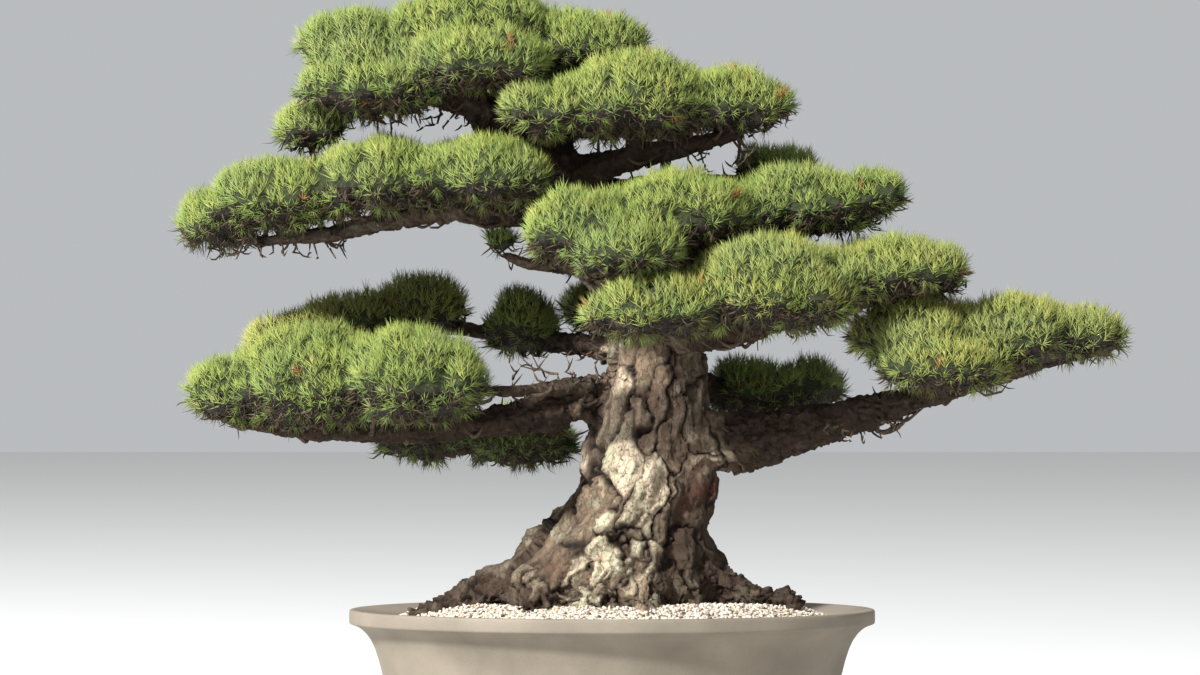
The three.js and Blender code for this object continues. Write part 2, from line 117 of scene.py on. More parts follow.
def move_corners(piece, corners):
    """Puts a piece's corners at new places."""
    piece.data.vertices.foreach_set("co", corners.astype(np.float32).ravel())
    piece.data.update()


def linear(hex_colour):
    """An sRGB hex colour as the linear colour that a shader socket takes."""
    shares = [int(hex_colour[i:i + 2], 16) / 255 for i in (1, 3, 5)]
    return [s / 12.92 if s <= 0.04045 else ((s + 0.055) / 1.055) ** 2.4 for s in shares] + [1]


def plug(material, node, inputs):
    """Gives each of these inputs of a node a value, or a link from another node."""
    for socket, value in inputs.items():
        if isinstance(value, bpy.types.NodeSocket):
            material.node_tree.links.new(value, node.inputs[socket])
        else:
            node.inputs[socket].default_value = value


def add(material, kind, inputs, tones=(), **settings):
    """Adds a shader node to a material, with its settings and a value or a link for each input.
    The tones of a colour ramp are pairs of a place from 0 to 1 and a hex colour."""
    made = material.node_tree.nodes.new("ShaderNode" + kind)
    for name, value in settings.items():
        setattr(made, name, value)
    plug(material, made, inputs)
    for _ in tones[2:]:
        made.color_ramp.elements.new(0.5)
    for i, (place, hex_colour) in enumerate(tones):
        made.color_ramp.elements[i].position = place
        made.color_ramp.elements[i].color = linear(hex_colour)
    return made


def new_material(name):
    """A new material, and its shader."""
    material = bpy.data.materials.new(name)
    material.use_nodes = True
    return material, material.node_tree.nodes["Principled BSDF"]


def stretch_to_oval(corners):
    """Stretches a turned shape into the pot's oval, its wall equally thick all round."""
    reach = np.maximum(np.hypot(corners[:, 0], corners[:, 1]), OVAL_CORE)
    corners[:, 0] *= 1 + (POT_HALF_LENGTH - POT_HALF_DEPTH) / reach
    return corners


section = [(POT_HALF_DEPTH - inset * MM, 0, height * MM) for inset, height in POT_SECTION]
pot_mesh = bpy.data.meshes.new("stoneware_pot")
pot_mesh.from_pydata(section, [(i, i + 1) for i in range(len(section) - 1)], [])
pot = new_piece("stoneware_pot", pot_mesh)
only(pot)
bpy.ops.object.mode_set(mode="EDIT")
bpy.ops.mesh.select_all(action="SELECT")
bpy.ops.mesh.spin(steps=POT_TURNS, angle=2 * math.pi, center=(0, 0, 0), axis=(0, 0, 1))
bpy.ops.mesh.select_all(action="SELECT")
bpy.ops.mesh.remove_doubles(threshold=WELD)
bpy.ops.mesh.select_all(action="DESELECT")
bpy.ops.mesh.select_non_manifold()
bpy.ops.mesh.fill_holes(sides=POT_TURNS)
bpy.ops.mesh.select_all(action="SELECT")
bpy.ops.mesh.normals_make_consistent(inside=False)
bpy.ops.object.mode_set(mode="OBJECT")
modified(pot, "SUBSURF", levels=1, render_levels=1)
move_corners(pot, stretch_to_oval(corners_of(pot)))
for middle in FOOT_MIDDLES:
    bpy.ops.object.select_all(action="DESELECT")
    bpy.ops.mesh.primitive_grid_add(x_subdivisions=FOOT_STEPS, y_subdivisions=1, size=2)
    foot = bpy.context.object
    bpy.ops.object.mode_set(mode="EDIT")
    bpy.ops.mesh.extrude_region_move(TRANSFORM_OT_translate={"value": (0, 0, FOOT_HEIGHT)})
    bpy.ops.mesh.select_all(action="SELECT")
    bpy.ops.mesh.normals_make_consistent(inside=False)
    bpy.ops.object.mode_set(mode="OBJECT")
    shape = corners_of(foot)
    turn = np.radians(middle + FOOT_HALF_SPREAD * shape[:, 0])
    inset = np.where(shape[:, 1] > 0, *FOOT_INSETS) * MM
    shape[:, 0] = (POT_HALF_LENGTH - inset) * np.cos(turn)
    shape[:, 1] = (POT_HALF_DEPTH - inset) * np.sin(turn)
    move_corners(foot, shape)
    modified(foot, "BEVEL", width=FOOT_ROUNDING, segments=3, limit_method="ANGLE")
    modified(pot, "BOOLEAN", operation="UNION", solver="EXACT", object=foot)
    bpy.data.objects.remove(foot)
for x in (-DRAIN_OFFSET, DRAIN_OFFSET):
    bpy.ops.object.select_all(action="DESELECT")
    bpy.ops.mesh.primitive_cylinder_add(vertices=DRAIN_SIDES, radius=DRAIN_RADIUS, depth=3 * POT_FLOOR)
    drill = bpy.context.object
    drill.location = (x, 0, POT_FLOOR)
    modified(pot, "BOOLEAN", operation="DIFFERENCE", solver="EXACT", object=drill)
    bpy.data.objects.remove(drill)
move_corners(pot, corners_of(pot) + pot_middle)
only(pot)
bpy.ops.object.shade_smooth_by_angle(angle=SHARP_EDGE)

# Stoneware clay fired without a glaze is matte and slightly sandy, with fine iron specks and
# soft clouds of a darker tone. Sand and specks are drawn coarser than they are, so that they show.
CLAY_LIGHT = "#83796A"
CLAY_DARK = "#6C6356"
CLAY_SPECK = "#463C32"
CLAY_CLOUD = 90
SPECK_SIZE = 2.2
SAND_SIZE = 1.1
SAND_HEIGHT = 0.4 * MM
stoneware, shader = new_material("unglazed_stoneware")
where = add(stoneware, "TexCoord", {}).outputs["Object"]
cloud = add(stoneware, "TexNoise", {"Vector": where, "Scale": 1000 / CLAY_CLOUD, "Detail": 5})
cloud = add(stoneware, "MapRange", {"Value": cloud.outputs["Fac"], "From Min": 0.35, "From Max": 0.7})
speck = add(stoneware, "TexVoronoi", {"Vector": where, "Scale": 1000 / SPECK_SIZE})
speck = add(stoneware, "MapRange", {"Value": speck.outputs["Distance"], "From Min": 0.12,
                                              "From Max": 0.22, "To Min": 0.55, "To Max": 0})
colour = linear(CLAY_LIGHT)
for share, tint in ((cloud.outputs[0], CLAY_DARK), (speck.outputs[0], CLAY_SPECK)):
    colour = add(stoneware, "Mix", {0: share, 6: colour, 7: linear(tint)}, data_type="RGBA").outputs[2]
sand = add(stoneware, "TexNoise", {"Vector": where, "Scale": 1000 / SAND_SIZE, "Detail": 2})
sandy = add(stoneware, "Bump", {"Height": sand.outputs["Fac"], "Strength": 0.25, "Distance": SAND_HEIGHT})
plug(stoneware, shader, {"Base Color": colour, "Normal": sandy.outputs[0], "Roughness": 0.72})
pot.data.materials.clear()
pot.data.materials.append(stoneware)
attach(pot, "root")
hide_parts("pot")


# The drainage screens are squares of moulded black plastic mesh, laid over the drain holes
# before the soil goes in. Nothing holds them but the soil's weight.
# Polyethylene leaves its mould evenly black, with a fine grain and a dull shine.
SCREEN_BLACK = "#2B2D2B"
GRAIN_SIZE = 0.83
GRAIN_DEPTH = 0.1 * MM
screen_plastic, shader = new_material("moulded_black_polyethylene")
where = add(screen_plastic, "TexCoord", {}).outputs["Object"]
grain = add(screen_plastic, "TexNoise", {"Vector": where, "Scale": 1000 / GRAIN_SIZE, "Detail": 1})
grained = add(screen_plastic, "Bump",
              {"Height": grain.outputs["Fac"], "Strength": 0.2, "Distance": GRAIN_DEPTH})
plug(screen_plastic, shader, {"Base Color": linear(SCREEN_BLACK), "Normal": grained.outputs[0],
                              "Roughness": 0.5})
for side in ("left", "right"):
    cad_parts["drain_screen_" + side].material_slots[0].material = screen_plastic


# The soil is a packed mix of fired clay granules, grit and bark that fills the pot, with the
# root crown in it. It was worked in round the roots with a stick and watered down.
# Damp granules are dull and rounded, each of its own brown.
SOIL_DARK = "#2E2118"
SOIL_LIGHT = "#6A503A"
GRANULE_SIZE = 4
GRANULE_HEIGHT = 2 * MM
soil_mix, shader = new_material("granular_bonsai_soil")
where = add(soil_mix, "TexCoord", {}).outputs["Object"]
granule = add(soil_mix, "TexVoronoi", {"Vector": where, "Scale": 1000 / GRANULE_SIZE})
tint = add(soil_mix, "SeparateColor", {"Color": granule.outputs["Color"]})
tone = add(soil_mix, "Mix", {0: tint.outputs[0], 6: linear(SOIL_DARK), 7: linear(SOIL_LIGHT)},
           data_type="RGBA")
rounded = add(soil_mix, "Bump", {"Height": granule.outputs["Distance"], "Strength": 0.9,
                                           "Distance": GRANULE_HEIGHT}, invert=True)
plug(soil_mix, shader, {"Base Color": tone.outputs[2], "Normal": rounded.outputs[0], "Roughness": 0.95})
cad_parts["soil"].material_slots[0].material = soil_mix


# The wood is the living tree itself: surface roots, trunk and limbs, grown as one piece.
# The bark of an old pine splits into long plates up the trunk, which weather pale tan and grey
# over dark fissures, and into small rough flakes round the foot and along the limbs.
WOOD_VOXEL = 1.8 * MM
WOOD_FACES = 165000
STOUT = 70 * MM
STOUT_STEPS = 20
SKIN = 0.1 * MM
SMOOTHING = 45
TRUNK_LINE = [  # height, middle x, middle y and radius of the trunk, in millimetres from the pot's centre
    (120, -12, 0, 118), (165, -8, 0, 127), (190, -4, 0, 124), (210, 1, 0, 116), (235, 8, 0, 102),
    (263, 17, 0, 91), (290, 34, 0, 81), (321, 43, 0, 76), (356, 44, 0, 65), (402, 48, 0, 56),
    (465, 55, 0, 49), (552, 5, 0, 39), (645, -38, 0, 29), (712, -130, -10, 22), (858, -186, -38, 5),
]
# The bark, with its lengths in millimetres. Each wander says how far the coarse, fine and jagged
# bends carry an edge, and each shape how a pattern is squeezed in x, y and z.
BEND_SIZES = (34, 12, 4.5)
FAN_RADIUS = 80
LIMB_SHAPE = (0.62, 1, 1)
GAPE_SIZE = 22
PLATE_WIDTH = 40
PLATE_STRETCH = 2.2
PLATE_WANDER = (9, 4, 1.3)
PLATE_STEP = 5
PLATE_TILT = 0.22
FISSURE_DEPTH = 6
FISSURE_SHARE = 0.07
BLOCK_WIDTH = 17
BLOCK_WANDER = (8, 4, 1.5)
BLOCK_SHAPE = (1, 1, 1.35)
BLOCK_STEP = 5
BLOCK_GAP_DEPTH = 4
BLOCK_GAP_SHARE = 0.15
BLOCKS_BELOW = (185, 235)
BLOCKS_RAGGED = 35
BLOCKS_PATCH = 50
CHIP_WIDTH = 8
CHIP_WANDER = (5, 2.5, 1)
CHIP_SHAPE = (1.2, 1.2, 0.8)
CHIP_STEP = 1.6
CHIP_TILT = 0.2
CHIP_GAP_DEPTH = 0.8
CHIP_GAP_SHARE = 0.25
BUTTRESS_WIDTH = 62
BUTTRESS_WANDER = (12,)
BUTTRESS_SHAPE = (1, 1, 0.45)
BUTTRESS_HEIGHT = 7
BUTTRESSES_END = (300, 420)
FLAKE_SIZE = 20
FLAKE_WANDER = (0, 3, 1)
FLAKE_SHAPE = (1, 1, 1.3)
FLAKE_LAYERS = 4
FLAKE_STEP = 1.3
LUMP_SIZE = 38
LUMP_HEIGHT = 2.8
BARK_GRAIN = 5
BARK_GRAIN_HEIGHT = 0.7
LIMB_BARK = 3.8
TRUNK_BARK = 4
TRUNK_EDGE = (1.35, 1.7)
ROOT_TOPS = (190, 240)
TRUNK_BARK_END = (500, 600)
# Where painted shade darkens the bark: heights in millimetres where it ends on the roots and flanks, and
# where its bands under the limbs and pads begin and end.
SHADE_ROOTS_END = (195, 260)
SHADE_LEFT_END = (215, 260)
SHADE_RIGHT_END = (300, 360)
RAGGED_EDGES = 22
UNDER_LIMBS = (325, 350)
UNDER_LIMBS_END = (405, 430)
UNDER_PADS = (385, 420)
YOUNG_PATCH = (272, 292)
YOUNG_PATCH_END = (306, 322)
TONE_DRAW = 57.3  # these two odd factors keep a plate's tone and its lean apart
LEAN_DRAW = 31.7
BARK_SEED = 3


def welded_copy(node, name):
    """A copy of a CAD node's mesh, its loose triangles merged, as a new piece."""
    piece = new_piece(name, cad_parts[node].data.copy())
    only(piece)
    bpy.ops.object.mode_set(mode="EDIT")
    bpy.ops.mesh.select_all(action="SELECT")
    bpy.ops.mesh.remove_doubles(threshold=WELD)
    bpy.ops.object.mode_set(mode="OBJECT")
    piece.data.materials.clear()
    return piece


def normals_of(piece):
    """The directions in which a piece's corners face, one row each."""
    normals = np.empty(len(piece.data.vertices) * 3, np.float32)
    piece.data.vertices.foreach_get("normal", normals)
    return normals.reshape(-1, 3).astype(float)


def thickness_of(piece):
    """How thick a piece is under each of its corners, measured straight through it."""
    tree = BVHTree.FromObject(piece, bpy.context.evaluated_depsgraph_get())
    thickness = np.zeros(len(piece.data.vertices))
    for corner in piece.data.vertices:
        _, _, _, depth = tree.ray_cast(corner.co - SKIN * corner.normal, -corner.normal)
        thickness[corner.index] = depth or 0
    return thickness


def smooth_step(values, low, high):
    """0 below low, 1 above high, and an even curve between them."""
    share = np.clip((values - low) / (high - low), 0, 1)
    return share * share * (3 - 2 * share)


def give_numbers(piece, **numbers):
    """Keeps numbers for each corner, which the piece's material reads by their names."""
    for name, values in numbers.items():
        attribute = piece.data.attributes.new(name, "FLOAT", "POINT")
        attribute.data.foreach_set("value", np.asarray(values, np.float32))


def plates(spots, width, metric="DISTANCE"):
    """Splits spots into plates this wide. Gives each spot's distance from the plate's edge as a share
    of the width, the plate's random number, and the height of its face, which leans its own way."""
    edge = np.zeros(len(spots))
    tone = np.zeros(len(spots))
    tilt = np.zeros(len(spots))
    for i, spot in enumerate(spots):
        spot = Vector(spot) / width
        near, cells = noise.voronoi(spot, distance_metric=metric)
        edge[i] = near[1] - near[0]
        tone[i] = noise.cell(cells[0] * TONE_DRAW)
        lean = noise.cell_vector(cells[0] * LEAN_DRAW) - Vector((0.5, 0.5, 0.5))
        tilt[i] = 2 * width * lean.dot(spot - cells[0])
    return edge, tone, tilt


def noise_at(spots, size, octaves=1):
    """Smooth noise between about -1 and 1, with lumps of this size."""
    return np.array([noise.fractal(Vector(spot) / size, 1, 2, octaves) for spot in spots])


def wandering(spots, shifts):
    """Spots moved by the coarse, fine and jagged bends, so that edges drawn through them wander."""
    return sum((shift * bend for shift, bend in zip(shifts, bends)), spots)


noise.seed_set(BARK_SEED)
wood = welded_copy("wood", "trunk_and_limbs")
modified(wood, "REMESH", mode="VOXEL", voxel_size=WOOD_VOXEL)
stout = np.clip(thickness_of(wood) / STOUT, 0.04, 1)
group = wood.vertex_groups.new(name="stout")
for level in range(1, STOUT_STEPS + 1):
    members = np.nonzero(np.ceil(stout * STOUT_STEPS) == level)[0]
    group.add([int(i) for i in members], level / STOUT_STEPS, "REPLACE")
modified(wood, "SMOOTH", factor=1, iterations=SMOOTHING, vertex_group="stout")
wood.vertex_groups.clear()

rise, line_x, line_y, line_radius = np.array(TRUNK_LINE, float).T
place = (corners_of(wood) - pot_middle) / MM
height = place[:, 2]
facing = normals_of(wood)
axis_x, axis_y, radius = (np.interp(height, rise, line) for line in (line_x, line_y, line_radius))
off_axis = np.hypot(place[:, 0] - axis_x, place[:, 1] - axis_y) / radius
on_trunk = 1 - smooth_step(off_axis, *TRUNK_EDGE)
on_trunk = np.maximum(on_trunk, 1 - smooth_step(height, *ROOT_TOPS))
on_trunk *= 1 - smooth_step(height, *TRUNK_BARK_END)
trunk = on_trunk > 0.5
bends = [np.array([noise.noise_vector(Vector(spot) / size) for spot in place]) for size in BEND_SIZES]

# The trunk's pattern is scaled to one radius, so that its plates run up it and fan out over the
# flare. On the limbs, and for the blocks of the roots, it is drawn out in x, the way most of them run.
fan = np.stack([(place[:, 0] - axis_x) * FAN_RADIUS / radius, (place[:, 1] - axis_y) * FAN_RADIUS / radius,
                height / PLATE_STRETCH], 1)
run = place * LIMB_SHAPE
lines = np.where(trunk[:, None], fan, run)
foot = np.where((trunk & (off_axis < 1.15))[:, None], fan * BLOCK_SHAPE, run)
gape = 1 + 0.7 * noise_at(place, GAPE_SIZE)
edge, tone, tilt = plates(wandering(fan, PLATE_WANDER), PLATE_WIDTH)
fissure = 1 - smooth_step(edge, 0, FISSURE_SHARE * gape)
block_edge, block_tone, block_tilt = plates(wandering(foot, BLOCK_WANDER), BLOCK_WIDTH, "MANHATTAN")
block_gap = 1 - smooth_step(block_edge, 0, BLOCK_GAP_SHARE * gape)
chip_edge, chip_tone, chip_tilt = plates(wandering(lines * CHIP_SHAPE, CHIP_WANDER), CHIP_WIDTH,
                                         "MANHATTAN")
chip_gap = 1 - smooth_step(chip_edge, 0, CHIP_GAP_SHARE)
buttress, _, _ = plates(wandering(fan * BUTTRESS_SHAPE, BUTTRESS_WANDER), BUTTRESS_WIDTH)
layers = FLAKE_LAYERS * noise_at(wandering(lines * FLAKE_SHAPE, FLAKE_WANDER), FLAKE_SIZE, 3)
layers = np.floor(layers) + smooth_step(layers - np.floor(layers), 0.75, 1)
lumps = noise_at(place, LUMP_SIZE, 2)
grain = noise_at(place, BARK_GRAIN, 3)

# Plates cover the trunk, and blocks its foot, the roots and the limbs. Where the wood is thin,
# the relief is shallow too.
patchy = height + BLOCKS_RAGGED * noise_at(place, BLOCKS_PATCH)
blocky = np.where(trunk, 1 - smooth_step(patchy, *BLOCKS_BELOW), 1)
plate_shift = PLATE_TILT * tilt + PLATE_STEP * (tone - 0.5) - FISSURE_DEPTH * fissure
block_shift = PLATE_TILT * block_tilt + BLOCK_STEP * (block_tone - 0.5) - BLOCK_GAP_DEPTH * block_gap
flakes = FLAKE_STEP * (1 + 0.6 * blocky) * layers
big = np.clip(radius / 60, 0.6, 1) * (0.35 + 0.65 * on_trunk)
shift = big * ((1 - blocky) * plate_shift + blocky * block_shift + flakes)
shift += big * LUMP_HEIGHT * lumps * (0.4 + 0.6 * blocky)
chips = CHIP_TILT * chip_tilt + CHIP_STEP * (chip_tone - 0.5) - CHIP_GAP_DEPTH * chip_gap
shift += chips * (0.45 + 0.85 * blocky)
bulge = smooth_step(buttress, 0, 0.5) - 0.7
shift += on_trunk * BUTTRESS_HEIGHT * bulge * (1 - smooth_step(height, *BUTTRESSES_END))
sturdy = np.clip(stout * 2.2, 0.15, 1)
shift = sturdy * shift + BARK_GRAIN_HEIGHT * grain * np.sqrt(sturdy)
shift += LIMB_BARK * (1 - on_trunk) * sturdy
shift += TRUNK_BARK * on_trunk
move_corners(wood, (place + facing * shift[:, None]) * MM + pot_middle)

# The bark's colours follow its cracks, its weathered faces, the tone of each plate and chip, and a
# patch of young red bark. Painted shade darkens it under the limbs and pads, on its lower flanks
# and low on the roots.
crack = np.maximum((1 - blocky) * fissure, 0.85 * blocky * block_gap)
weather = np.where(blocky > 0.5, smooth_step(block_edge, 0.05, 0.4), smooth_step(edge, 0.03, 0.2))
weather += 0.25 * grain + 0.2 * (layers - np.mean(layers))
give_numbers(wood, crack=np.clip(crack + 0.4 * chip_gap, 0, 1), weathered=np.clip(weather, 0, 1),
             plate_tone=np.where(blocky > 0.5, block_tone, tone), chip_tone=chip_tone, on_trunk=on_trunk)
# Painted shade: the bark is darkened low on the roots and flanks, in a band under the limbs, and on the
# right side under the pads.
aside = (place[:, 0] - axis_x) / radius
wavy = height + RAGGED_EDGES * lumps
roots = (1 - smooth_step(height, *SHADE_ROOTS_END)) * smooth_step(off_axis, 0.85, 1.15)
right = smooth_step(aside, 0.35, 0.7) * (1 - smooth_step(height, *SHADE_RIGHT_END))
left = smooth_step(-aside, 0.5, 0.75) * (1 - smooth_step(wavy, *SHADE_LEFT_END))
left *= 0.95 * smooth_step(-lumps, -0.5, -0.05)
under_limbs = 0.9 * smooth_step(wavy, *UNDER_LIMBS) * (1 - smooth_step(wavy, *UNDER_LIMBS_END))
under_pads = 0.9 * smooth_step(aside + 0.4 * lumps, 0, 0.35) * smooth_step(wavy, *UNDER_PADS)
damp = np.max([roots, right, left, under_limbs, under_pads], axis=0)
fresh = smooth_step(wavy, *YOUNG_PATCH) * (1 - smooth_step(wavy, *YOUNG_PATCH_END))
fresh *= smooth_step(place[:, 0], 58, 82) * (1 - smooth_step(place[:, 1], 0, 30))
fresh *= 0.35 + 0.35 * chip_tone
give_numbers(wood, damp=damp, fresh_bark=fresh)
modified(wood, "TRIANGULATE")
if len(wood.data.polygons) > WOOD_FACES:
    modified(wood, "DECIMATE", decimate_type="COLLAPSE", ratio=WOOD_FACES / len(wood.data.polygons))
bpy.ops.object.shade_smooth()
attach(wood, "root")
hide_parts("wood")


# Old pine bark is dry cork, without any gloss. Its plates weather to tan, pink and grey with
# films of grey-green lichen, the young bark of the limbs is darker and its tones are painted darker
# still with shade, and the fissures nearly black.
TRUNK_TONES = ((0, "#7F6D59"), (0.2, "#B8AA8F"), (0.4, "#C8B39B"), (0.55, "#A8A487"), (0.7, "#CFC1A4"),
               (0.85, "#AF967D"), (1, "#C4BE9F"))
# The limbs' tones are their dark young bark, painted darker still with the shade they lie in.
LIMB_BARK_AND_SHADE_TONES = ((0, "#1C1512"), (0.35, "#342921"), (0.7, "#483B30"), (0.85, "#6A5B49"), (1, "#A4937A"))
FISSURE = "#150E0A"
LICHEN = "#9AA088"
RED_BARK = "#62352A"
DIRTY_BARK = "#5E5041"
# A dark bark brown that draws the splits between scales and the painted shade.
SPLIT_AND_SHADE_BARK = "#33251C"
PATCH_SIZE = 60
LICHEN_SIZE = 34
STREAK_SIZE = 5
CORK_SIZE = 1.9
CORK_HEIGHT = 1.2 * MM
WANDER_SIZE = 7
WANDER_SHIFT = 9 * MM
SPLIT_SIZE = 9
SPLIT_STRETCH = 0.45
SPLIT_HEIGHT = 1 * MM
pine_bark, shader = new_material("weathered_pine_bark")
where = add(pine_bark, "TexCoord", {}).outputs["Object"]
tone, chip, crack, mature, weather, damp, fresh = (
    add(pine_bark, "Attribute", {}, attribute_name=name).outputs["Fac"]
    for name in ("plate_tone", "chip_tone", "crack", "on_trunk", "weathered", "damp", "fresh_bark"))
tone = add(pine_bark, "Mix", {0: 0.35, 2: tone, 3: chip}).outputs[0]
young = add(pine_bark, "ValToRGB", {"Fac": tone}, LIMB_BARK_AND_SHADE_TONES).outputs["Color"]
plate = add(pine_bark, "ValToRGB", {"Fac": tone}, TRUNK_TONES).outputs["Color"]
colour = add(pine_bark, "Mix", {0: mature, 6: young, 7: plate}, data_type="RGBA").outputs[2]
patch = add(pine_bark, "TexNoise", {"Vector": where, "Scale": 1000 / PATCH_SIZE, "Detail": 3})
patch = add(pine_bark, "MapRange",
            {"Value": patch.outputs["Fac"], "From Min": 0.62, "From Max": 0.7, "To Max": 0.4}).outputs[0]
lichen = add(pine_bark, "TexNoise",
             {"Vector": where, "Scale": 1000 / LICHEN_SIZE, "Detail": 6, "Roughness": 0.65})
lichen = add(pine_bark, "MapRange",
             {"Value": lichen.outputs["Fac"], "From Min": 0.55, "From Max": 0.63, "To Max": 0.6}).outputs[0]
spread = add(pine_bark, "MapRange", {"Value": mature, "To Min": 0.4}).outputs[0]
lichen = add(pine_bark, "Math", {0: lichen, 1: spread}, operation="MULTIPLY").outputs[0]
streak = add(pine_bark, "TexNoise",
             {"Vector": where, "Scale": 1000 / STREAK_SIZE, "Detail": 5, "Roughness": 0.7})
streak = add(pine_bark, "MapRange",
             {"Value": streak.outputs["Fac"], "From Min": 0.34, "From Max": 0.46}).outputs[0]
clean = add(pine_bark, "Math", {0: weather, 1: streak}, operation="MULTIPLY").outputs[0]
dirt = add(pine_bark, "Math", {0: 1, 1: clean}, operation="SUBTRACT").outputs[0]
# Painted shade: the bark is darkened under the limbs and pads, on its lower flanks and on the roots.
damp = add(pine_bark, "Math", {0: damp, 1: 0.86}, operation="MULTIPLY").outputs[0]
for share, tint in ((patch, RED_BARK), (lichen, LICHEN), (dirt, DIRTY_BARK), (damp, SPLIT_AND_SHADE_BARK),
                    (fresh, RED_BARK), (crack, FISSURE)):
    colour = add(pine_bark, "Mix", {0: share, 6: colour, 7: linear(tint)}, data_type="RGBA").outputs[2]

# Thin scales split off every plate, along edges that wander and run mostly upwards.
wander = add(pine_bark, "TexNoise", {"Vector": where, "Scale": 1000 / WANDER_SIZE, "Detail": 3})
wander = add(pine_bark, "VectorMath", {0: wander.outputs["Color"], 1: (WANDER_SHIFT,) * 3},
             operation="MULTIPLY")
wander = add(pine_bark, "VectorMath", {0: where, 1: wander.outputs[0]}, operation="ADD")
wander = add(pine_bark, "VectorMath", {0: wander.outputs[0], 1: (1, 1, SPLIT_STRETCH)},
             operation="MULTIPLY")
split = add(pine_bark, "TexVoronoi", {"Vector": wander.outputs[0], "Scale": 1000 / SPLIT_SIZE},
            feature="DISTANCE_TO_EDGE")
split = add(pine_bark, "MapRange",
            {"Value": split.outputs["Distance"], "From Max": 0.07, "To Min": 0.5}).outputs[0]
colour = add(pine_bark, "Mix", {0: split, 6: linear(SPLIT_AND_SHADE_BARK), 7: colour}, data_type="RGBA").outputs[2]
cork = add(pine_bark, "TexNoise",
           {"Vector": where, "Scale": 1000 / CORK_SIZE, "Detail": 5, "Roughness": 0.7})
cork = add(pine_bark, "Bump", {"Height": cork.outputs["Fac"], "Strength": 0.9, "Distance": CORK_HEIGHT})
cork = add(pine_bark, "Bump",
           {"Height": split, "Strength": 0.8, "Distance": SPLIT_HEIGHT, "Normal": cork.outputs[0]})
plug(pine_bark, shader, {"Base Color": colour, "Normal": cork.outputs[0], "Roughness": 0.9,
                         "Specular IOR Level": 0.25})
wood.data.materials.append(pine_bark)


# The grit is crushed pale stone, strewn over the soil to keep it moist and clean: angular
# cream and white grains of 3 to 7 mm, with a few dark ones and crumbs of bark among them.
GRIT_COUNT = 3300
GRIT_MODELS = 6
GRIT_SIZES = (1.5, 3.4)
GRIT_LIFT = (-0.6 * MM, 1.2 * MM)
GRIT_TILT = 0.5
GRAIN_CORNERS = (0.72, 1.25)
GRAIN_SHAPES = ((0.8, 0.6, 0.55), (1.3, 0.9, 0.75))
GRIT_SEED = 7
ODD_WAY = (0.31, 0.27, 0.91)  # a way in which no axis points


def mesh_piece(name, corners, faces):
    """A piece from arrays of its corners and triangles."""
    mesh = bpy.data.meshes.new(name)
    mesh.vertices.add(len(corners))
    mesh.vertices.foreach_set("co", corners.astype(np.float32).ravel())
    mesh.loops.add(faces.size)
    mesh.loops.foreach_set("vertex_index", faces.astype(np.int32).ravel())
    mesh.polygons.add(len(faces))
    mesh.polygons.foreach_set("loop_start", np.arange(0, faces.size, 3, dtype=np.int32))
    mesh.update(calc_edges=True)
    return new_piece(name, mesh)


def triangles_of(piece):
    """A piece's faces as rows of three corners, all of them triangles."""
    piece.data.calc_loop_triangles()
    faces = np.empty(len(piece.data.loop_triangles) * 3, np.int32)
    piece.data.loop_triangles.foreach_get("vertices", faces)
    return faces.reshape(-1, 3)


def unit(ways):
    """Ways made one long."""
    return ways / np.linalg.norm(ways, axis=1)[:, None]


def turns_to(axes, spins):
    """Rotations that take +Z to each axis, after a spin about it."""
    side = unit(np.cross(axes, ODD_WAY))
    back = np.cross(axes, side)
    first = side * np.cos(spins)[:, None] + back * np.sin(spins)[:, None]
    second = np.cross(axes, first)
    return np.stack([first, second, axes], 2)


def strewn(models, picks, places, axes, spins, sizes):
    """Copies of small models as one set of corners and faces, with the index of each corner's copy."""
    turns = turns_to(axes, spins)
    all_corners, all_faces, copies = [], [], []
    count = 0
    for pick, (corners, faces) in enumerate(models):
        members = np.nonzero(picks == pick)[0]
        moved = np.einsum("mij,nj->mni", turns[members], corners) * sizes[members, None, None]
        moved += places[members][:, None, :]
        offsets = count + len(corners) * np.arange(len(members))
        all_corners.append(moved.reshape(-1, 3))
        all_faces.append((faces[None, :, :] + offsets[:, None, None]).reshape(-1, 3))
        copies.append(np.repeat(members, len(corners)))
        count += len(corners) * len(members)
    return np.concatenate(all_corners), np.concatenate(all_faces), np.concatenate(copies)


def random_places(piece, count, weigh, rng):
    """Places on a piece's faces and the ways these face, drawn by area and by a weight of the way."""
    triangles = triangles_of(piece)
    a, b, c = (corners_of(piece)[triangles[:, i]] for i in range(3))
    cross = np.cross(b - a, c - a)
    area = np.linalg.norm(cross, axis=1)
    normals = cross / np.maximum(area, 1e-12)[:, None]
    chance = area * weigh(normals)
    chosen = rng.choice(len(triangles), count, p=chance / chance.sum())
    u, v = rng.random((2, count))
    flip = u + v > 1
    u[flip] = 1 - u[flip]
    v[flip] = 1 - v[flip]
    spots = a[chosen] + (b - a)[chosen] * u[:, None] + (c - a)[chosen] * v[:, None]
    return spots, normals[chosen]


